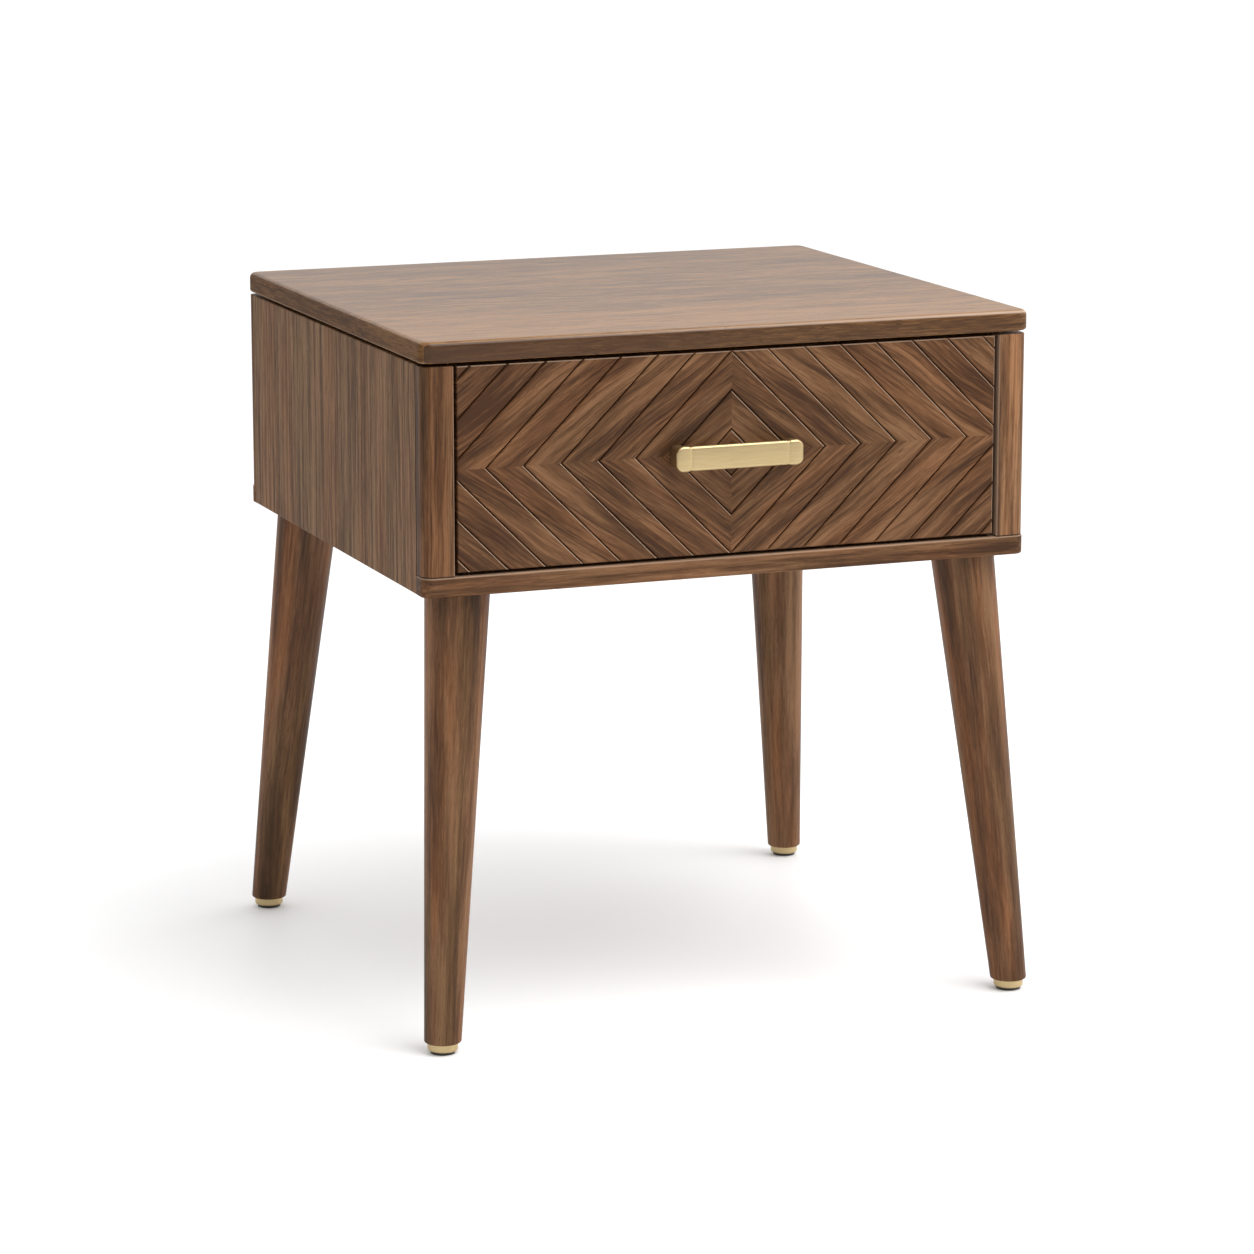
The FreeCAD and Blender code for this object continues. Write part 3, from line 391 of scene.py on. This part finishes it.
def walnut_rail():
    """The bottom rails, with a painted highlight along their upper arris."""
    finish = start_finish("walnut_rail")
    x, y, z = finish.coordinates()
    grain = (x + 1.3, y + 0.4, z)
    colour, rough, relief = walnut(finish, grain, band=70, length=6, broad=0.9, pale=-0.02)
    # Painted highlight along the upper arris.
    arris = z.ease(RAIL_TOP - RAIL_ARRIS_CLEAR, RAIL_TOP - RAIL_ARRIS_FULL)
    colour = finish.blend(arris * 0.4, colour, PAINTED_HIGHLIGHT)
    return lacquer(finish, colour, rough, relief)


# ---- The drawer front ----

FRONT_LOW, FRONT_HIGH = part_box("drawer_front")
FRONT_MIDDLE = (FRONT_LOW.z + FRONT_HIGH.z) / 2
FRONT_HALF_HEIGHT = (FRONT_HIGH.z - FRONT_LOW.z) / 2
FRONT_GRAIN_ANGLE = math.radians(35)

# Depths below the face: where the darkening by depth begins and is full, and where the painted highlight
# on the lip of a groove starts, is full, fades and ends.
DEPTH_DARK_START = 0.0008
DEPTH_DARK_FULL = 0.0012
LIP_START = 0.00003
LIP_FULL = 0.0001
LIP_FADES = 0.0009
LIP_END = 0.0013

# How far from the front's own edges the darkening by depth begins, and where it is full.
DEPTH_DARK_MARGIN = 0.001
DEPTH_DARK_MARGIN_END = 0.002


def walnut_front():
    """Four book-matched leaves of veneer, whose grain leans towards the centre.

    The grooves are darkened by depth, and so is the face against the drawer box, because the darkening
    goes by depth. The grooves' lips carry a painted highlight where they look up or right.
    """
    finish = start_finish("walnut_front")
    x, y, z = finish.coordinates()
    rise = z - FRONT_MIDDLE
    leaf = x.above(0) * 0.6 + rise.above(0) * 1.1
    reach = abs(x)
    climb = abs(rise)
    swing = finish.noise(finish.vector(reach * 9, climb * 9, leaf * 0.15), 1) - 0.5
    lean_cos = math.cos(FRONT_GRAIN_ANGLE)
    lean_sin = math.sin(FRONT_GRAIN_ANGLE)
    along = reach * lean_cos - climb * lean_sin
    across = reach * lean_sin + climb * lean_cos + swing * 0.012 + leaf * 0.0007
    # Painted light: the front is painted darker to the left and paler to the right.
    colour, rough, relief = walnut(
        finish, (along, across, leaf * 0.004), band=60, length=6, wave=0.25,
        stripe=0.9, fine=1.3, hue=0.3, pale=x * 0.13 - 0.012,
    )
    depth = y - FRONT_LOW.y
    inside_x = (FRONT_HIGH.x - reach).ease(DEPTH_DARK_MARGIN, DEPTH_DARK_MARGIN_END)
    inside_z = (FRONT_HALF_HEIGHT - climb).ease(DEPTH_DARK_MARGIN, DEPTH_DARK_MARGIN_END)
    # Darker by depth: the cores of the grooves and the face against the drawer box.
    depth_dark = depth.ease(DEPTH_DARK_START, DEPTH_DARK_FULL) * (inside_x * inside_z)
    lip = depth.ease(LIP_START, LIP_FULL) * (1 - depth.ease(LIP_FADES, LIP_END))
    facing_x, facing_y, facing_z = finish.facing()
    # Painted highlight on the lips of the grooves that look up or right.
    painted_lip_highlight = (facing_x + facing_z).ease(0.25, 0.6) * lip * (1 - depth_dark) * 0.9
    colour = finish.blend(painted_lip_highlight, colour, PAINTED_HIGHLIGHT)
    colour = finish.blend(depth_dark, colour, PORE_AND_SHADE_TONE)
    return lacquer(finish, colour, rough, relief)


# ---- Legs ----

LEG_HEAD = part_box("front_right_leg")[1].z
LEG_GLOSS = 0.34

# How far a leg's axis moves outwards for each metre down.
SPLAY_X = 0.082
SPLAY_Y = 0.114


def walnut_leg():
    """Walnut whose grain follows each splayed leg, with its own figure on each."""
    finish = start_finish("walnut_leg")
    x, y, z = finish.coordinates()
    right = x.above(0)
    rear = y.above(0)
    own = right * 0.37 + rear * 0.71
    down = LEG_HEAD - z
    from_axis_x = abs(x) - down * SPLAY_X
    from_axis_y = abs(y) - down * SPLAY_Y
    # Painted light: the back right leg is painted paler than the others.
    colour, rough, relief = walnut(
        finish, (z + own, from_axis_x + own, from_axis_y), band=62, length=4, wave=0.2,
        stripe=0.65, hue=0.9, pale=right * rear * 0.06,
    )
    return lacquer(finish, colour, rough, relief, gloss=LEG_GLOSS)


# ---- Metals and small parts ----

BRASS_STOPS = [(0.30, (0.46, 0.345, 0.18)), (0.72, (0.57, 0.44, 0.24))]
ZINC_STOPS = [(0.30, grey(0.42)), (0.72, grey(0.60))]
BIRCH_TONES = ((0.50, 0.34, 0.19), (0.66, 0.49, 0.31))
BEECH_TONES = ((0.40, 0.22, 0.11), (0.55, 0.34, 0.19))
RUBBER_TONES = (grey(0.012), grey(0.03))
FELT_TONES = ((0.06, 0.05, 0.045), (0.16, 0.14, 0.13))
NYLON_TONES = (grey(0.55), grey(0.68))


def satin_brass():
    """Brass brushed lengthways, for the pull, the glides and the inserts."""
    finish = start_finish("satin_brass")
    x, y, z = finish.coordinates()
    brushed = finish.noise(finish.vector(x * 60, y * 900, z * 2600), 3, 0.6)
    return finish.give(
        Base_Color=finish.ramp(brushed, BRASS_STOPS),
        Roughness=0.40 + (brushed - 0.5) * 0.12,
        Metallic=1.0,
        Normal=finish.bump(brushed, 0.00002, 0.3),
    )


def zinc_steel():
    """Zinc-plated steel rolled from front to back, for the runners, bolts and screws."""
    finish = start_finish("zinc_steel")
    x, y, z = finish.coordinates()
    rolled = finish.noise(finish.vector(x * 300, y * 22, z * 900), 3, 0.6)
    base = finish.ramp(rolled, ZINC_STOPS)
    return finish.give(Base_Color=base, Roughness=0.30 + rolled * 0.16, Metallic=1.0)


def plain_wood(name, grain_axis, dark, light):
    """Light wood for what is out of sight: drawer box, battens and blocks."""
    finish = start_finish(name)
    grain = grain_places(finish, grain_axis)
    streak = streaks(finish, grain, (4, 90), 4, 0.6)
    fleck = streaks(finish, grain, (60, 900), 2)
    return finish.give(
        Base_Color=finish.ramp(streak * 0.75 + fleck * 0.25, [(0.32, dark), (0.68, light)]),
        Roughness=0.48 + (fleck - 0.5) * 0.15,
        Normal=finish.bump(fleck, 0.00006, 0.4),
    )


def speckled(name, dark, light, roughness, size):
    """Rubber, felt and moulded nylon: an even colour broken by fine specks."""
    finish = start_finish(name)
    speck = finish.noise(finish.vector(*finish.coordinates()), 3, 0.6, scale=size)
    return finish.give(
        Base_Color=finish.ramp(speck, [(0.35, dark), (0.68, light)]),
        Roughness=roughness + (speck - 0.5) * 0.2,
        Normal=finish.bump(speck, 0.0001, 0.5),
    )


# ---- The pull ----

BLOCK_LENGTH = 0.0125
BLOCK_CORNER = 0.0060
BLOCK_NOSE = 0.0024
SEAM_HALF = 0.0020
SEAM_DEEP = 0.00035
BAR_DROP = 0.00045
BAR_THICKNESS = 0.0065
BAR_EDGE_ROUND = 0.0026
LEG_WIDTH = 0.0095
LEG_INSET = 0.0016
LEG_HEIGHT = 0.0172
LEG_EDGE_ROUND = 0.0030

# Steps along one end of the bar, and how near its tip the first section lies.
NOSE_STEPS = 8
BLOCK_STEPS = 4
SEAM_STEPS = 8
FIRST_STATION = BLOCK_CORNER * 0.006


def start_shaping(add_primitive, **where):
    """Adds a primitive on its own and opens it for editing."""
    bpy.ops.object.select_all(action="DESELECT")
    add_primitive(**where)
    bpy.ops.object.mode_set(mode="EDIT")
    return bpy.context.object


def stop_shaping():
    """Closes the mesh being edited, with its faces outwards and its place in its mesh."""
    bpy.ops.mesh.select_all(action="SELECT")
    bpy.ops.mesh.normals_make_consistent(inside=False)
    bpy.ops.object.mode_set(mode="OBJECT")
    bpy.ops.object.transform_apply(location=True, rotation=True, scale=True)
    foremost = min(bpy.context.object.data.polygons, key=lambda face: face.center.y)
    if foremost.normal.y > 0:
        bpy.ops.object.mode_set(mode="EDIT")
        bpy.ops.mesh.flip_normals()
        bpy.ops.object.mode_set(mode="OBJECT")


def round_drop(distance, radius):
    """How far a rounded end falls away from its full size, at a distance from its tip."""
    if distance >= radius:
        return 0.0
    return radius - math.sqrt(radius ** 2 - (radius - distance) ** 2)


def bar_trim(distance):
    """How much lower and thinner than its full section the bar is, at a distance from its end."""
    trim = BAR_DROP
    if distance < BLOCK_LENGTH:
        crown = 4 * distance * (BLOCK_LENGTH - distance) / BLOCK_LENGTH ** 2
        trim = BAR_DROP * (1 - crown)
    from_seam = abs(distance - BLOCK_LENGTH)
    if from_seam < SEAM_HALF:
        trim += SEAM_DEEP * (1 + math.cos(math.pi * from_seam / SEAM_HALF)) / 2
    return round_drop(distance, BLOCK_CORNER) + trim, round_drop(distance, BLOCK_NOSE) + trim


def bar_stations(length):
    """Places along the bar where its section changes, from one end to the other."""
    seam_start = BLOCK_LENGTH - SEAM_HALF
    quarter_turns = [math.pi / 2 * step / NOSE_STEPS for step in range(1, NOSE_STEPS + 1)]
    nose = [BLOCK_CORNER * (1 - math.cos(turn)) for turn in quarter_turns]
    block_step = (seam_start - BLOCK_CORNER) / BLOCK_STEPS
    block = [BLOCK_CORNER + block_step * step for step in range(1, BLOCK_STEPS + 1)]
    seam_step = 2 * SEAM_HALF / SEAM_STEPS
    seam = [seam_start + seam_step * step for step in range(1, SEAM_STEPS + 1)]
    half = [FIRST_STATION] + nose + block + seam
    return half + [length - place for place in reversed(half)]


def pull_bar(low, high):
    """The bar with its pillowed end blocks, drawn out from one end section to the other."""
    length = high.x - low.x
    full_height = high.z - low.z
    middle_y = low.y + BAR_THICKNESS / 2
    middle_z = (low.z + high.z) / 2
    stations = bar_stations(length)
    start = (low.x + stations[0], middle_y, middle_z)
    upright = (math.pi / 2, 0, math.pi / 2)
    bar = start_shaping(bpy.ops.mesh.primitive_plane_add, size=1, location=start, rotation=upright)
    bpy.ops.transform.resize(value=(1, BAR_THICKNESS, full_height), center_override=start)
    bpy.ops.mesh.bevel(offset=BAR_EDGE_ROUND, segments=6, profile=0.5, affect="VERTICES")
    size_y = BAR_THICKNESS
    size_z = full_height
    for number, place in enumerate(stations):
        if number:
            step = (place - stations[number - 1], 0, 0)
            bpy.ops.mesh.extrude_region_move(TRANSFORM_OT_translate={"value": step})
        here = (low.x + place, middle_y, middle_z)
        lower, thinner = bar_trim(min(place, length - place))
        next_y = BAR_THICKNESS - 2 * thinner
        next_z = full_height - 2 * lower
        bpy.ops.transform.resize(value=(1, next_y / size_y, next_z / size_z), center_override=here)
        size_y = next_y
        size_z = next_z
    stop_shaping()
    return bar


def pull_leg(side, low, high):
    """A leg from the back of an end block to the drawer front, with soft edges."""
    outer = high.x - LEG_INSET
    back = low.y + BAR_THICKNESS / 2
    middle = (side * (outer - LEG_WIDTH / 2), (back + high.y) / 2, (low.z + high.z) / 2)
    leg = start_shaping(bpy.ops.mesh.primitive_cube_add, size=1, location=middle)
    bpy.ops.transform.resize(value=(LEG_WIDTH, high.y - back, LEG_HEIGHT), center_override=middle)
    bpy.ops.mesh.select_all(action="DESELECT")
    bpy.ops.object.mode_set(mode="OBJECT")
    for edge in leg.data.edges:
        first, second = (leg.data.vertices[index].co for index in edge.vertices)
        edge.select = abs(first.y - second.y) > 0.5 * (first - second).length
    bpy.ops.object.mode_set(mode="EDIT")
    bpy.ops.mesh.bevel(offset=LEG_EDGE_ROUND, segments=4, profile=0.5, affect="EDGES")
    stop_shaping()
    return leg


def drawer_pull(brass):
    """The cast pull in one piece: bar, end blocks and legs."""
    low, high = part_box("drawer_pull")
    bar = pull_bar(low, high)
    for side in (-1, 1):
        leg = pull_leg(side, low, high)
        bpy.ops.object.select_all(action="DESELECT")
        bpy.context.view_layer.objects.active = bar
        union = bar.modifiers.new("leg", "BOOLEAN")
        union.operation = "UNION"
        union.object = leg
        bpy.ops.object.modifier_apply(modifier=union.name)
        bpy.data.objects.remove(leg)
    bar.select_set(True)
    bpy.ops.object.shade_smooth_by_angle(angle=math.radians(40))
    bar.name = "cast_pull"
    bar.data.materials.clear()
    bar.data.materials.append(brass)
    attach(bar, "drawer")
    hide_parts("drawer_pull")


# ---- Which finish goes on which piece ----

def wear(material, *names):
    """Puts a material on CAD nodes."""
    for name in names:
        mesh = nodes[name].data
        mesh.materials.clear()
        mesh.materials.append(material)


def ending_with(*words):
    return [name for name in sorted(nodes) if name.endswith(words)]


wear(walnut_top(), "top_panel")
wear(walnut_side("walnut_left_side", 0.7), "left_side_panel")
wear(walnut_side("walnut_right_side", 1.1), "right_side_panel")
wear(walnut_rail(), "front_bottom_rail", "rear_bottom_rail")
wear(walnut_post("walnut_left_post", 1.9, LEFT_POST_PAINTED_SHADE), "front_left_post")
wear(walnut_post("walnut_right_post", 2.1, RIGHT_POST_PAINTED_LIGHT), "front_right_post")
rear_walnut = walnut_board("walnut_rear_post", "z", 1.9, band=110, length=6)
wear(rear_walnut, "rear_left_post", "rear_right_post")
wide_walnut = walnut_board("walnut_back", "x", 2.4, band=30, length=3, broad=0.6)
wear(wide_walnut, "back_panel", "case_floor")
wear(walnut_front(), "drawer_front")
wear(walnut_leg(), *ending_with("_leg"))
brass = satin_brass()
wear(brass, "leg_inserts", *ending_with("_glide"))
drawer_pull(brass)
wear(zinc_steel(), "leg_bolts", *ending_with("_runner", "_screws"))
wear(plain_wood("birch", "y", *BIRCH_TONES), "drawer_left_side", "drawer_right_side")
birch_across = plain_wood("birch_across", "x", *BIRCH_TONES)
wear(birch_across, "drawer_box_front", "drawer_box_back", "drawer_bottom")
beech = plain_wood("beech", "x", *BEECH_TONES)
wear(beech, "leg_blocks", "drawer_stop_blocks", *ending_with("_stretcher", "_dowels", "_cleat", "_packer"))
wear(speckled("black_rubber", *RUBBER_TONES, 0.6, 900), *ending_with("_foot_pad"))
wear(speckled("felt", *FELT_TONES, 0.95, 700), "drawer_stop_pads")
wear(speckled("cage_nylon", *NYLON_TONES, 0.5, 400), "outer_ball_cages", "inner_ball_cages")


# ---- Studio ----

FLOOR_SIZE = 200
FLOOR_TONE = 0.91

# How brightly each part of the studio glows.
FRONT_GLOW = 0.26
RIGHT_GLOW = 2.0
TOP_GLOW = 1.05
HORIZON_GLOW = 0.98
BACK_GLOW = 1.25

KEY_PLACE = Vector((0.75, -1.05, 2.75))
KEY_AIM = Vector((0, 0, 0.4))
KEY_SIZE = (2.1, 1.9)
KEY_POWER = 60

CAMERA_PLACE = (-1.3154, -3.3591, 1.0256)
CAMERA_DIP = math.radians(11.85)
CAMERA_TURN = math.radians(-21.39)
CAMERA_LENS = 129.88
CAMERA_SENSOR = 36


def studio_floor():
    """A plain pale floor, wide enough to reach the horizon."""
    bpy.ops.object.select_all(action="DESELECT")
    bpy.ops.mesh.primitive_plane_add(size=FLOOR_SIZE, location=(0, 0, 0))
    floor = bpy.context.object
    floor.name = "studio_floor"
    finish = start_finish("studio_floor")
    pale = finish.give(Base_Color=opaque(grey(FLOOR_TONE)), Roughness=0.55, Specular_IOR_Level=0.3)
    floor.data.materials.append(pale)


def studio_walls():
    """A bright wall behind the table, a softer ceiling, a dim front, a bright right and a horizon."""
    walls = Finish(bpy.data.worlds.new("studio"), "Background")
    x, y, z = walls.parts(walls.node("ShaderNodeTexCoord", {}, {}, output="Generated"))
    back = (y * 0.9 + x * 0.1).ease(0.15, 0.75) * (1 - z.ease(0.25, 0.85))
    overhead = z.ease(0.15, 0.8)
    right = x.ease(0.45, 0.85) * z.ease(0.02, 0.2) * (1 - z.ease(0.45, 0.7))
    horizon = 1 - abs(z).ease(0.05, 0.16)
    glow = FRONT_GLOW + back * (BACK_GLOW - FRONT_GLOW) + overhead * (TOP_GLOW - FRONT_GLOW)
    glow = (glow + right * RIGHT_GLOW).most(horizon * HORIZON_GLOW)
    bpy.context.scene.world = walls.give(Color=opaque(grey(1.0)), Strength=glow)


def place_in_studio(name, data, place, turn):
    """Puts a light or a camera in the scene."""
    holder = bpy.data.objects.new(name, data)
    bpy.context.scene.collection.objects.link(holder)
    holder.location = place
    holder.rotation_euler = turn
    return holder


def key_light():
    """One large soft light, high in front of the table and to its right."""
    lamp = bpy.data.lights.new("key", "AREA")
    lamp.shape = "RECTANGLE"
    lamp.size, lamp.size_y = KEY_SIZE
    lamp.energy = KEY_POWER
    place_in_studio("key", lamp, KEY_PLACE, (KEY_AIM - KEY_PLACE).to_track_quat("-Z", "Y").to_euler())


def camera():
    lens = bpy.data.cameras.new("camera")
    lens.sensor_width = CAMERA_SENSOR
    lens.lens = CAMERA_LENS
    turn = Euler((math.pi / 2 - CAMERA_DIP, 0, CAMERA_TURN))
    bpy.context.scene.camera = place_in_studio("camera", lens, CAMERA_PLACE, turn)


bpy.context.scene.view_settings.view_transform = "Standard"
studio_floor()
studio_walls()
key_light()
camera()
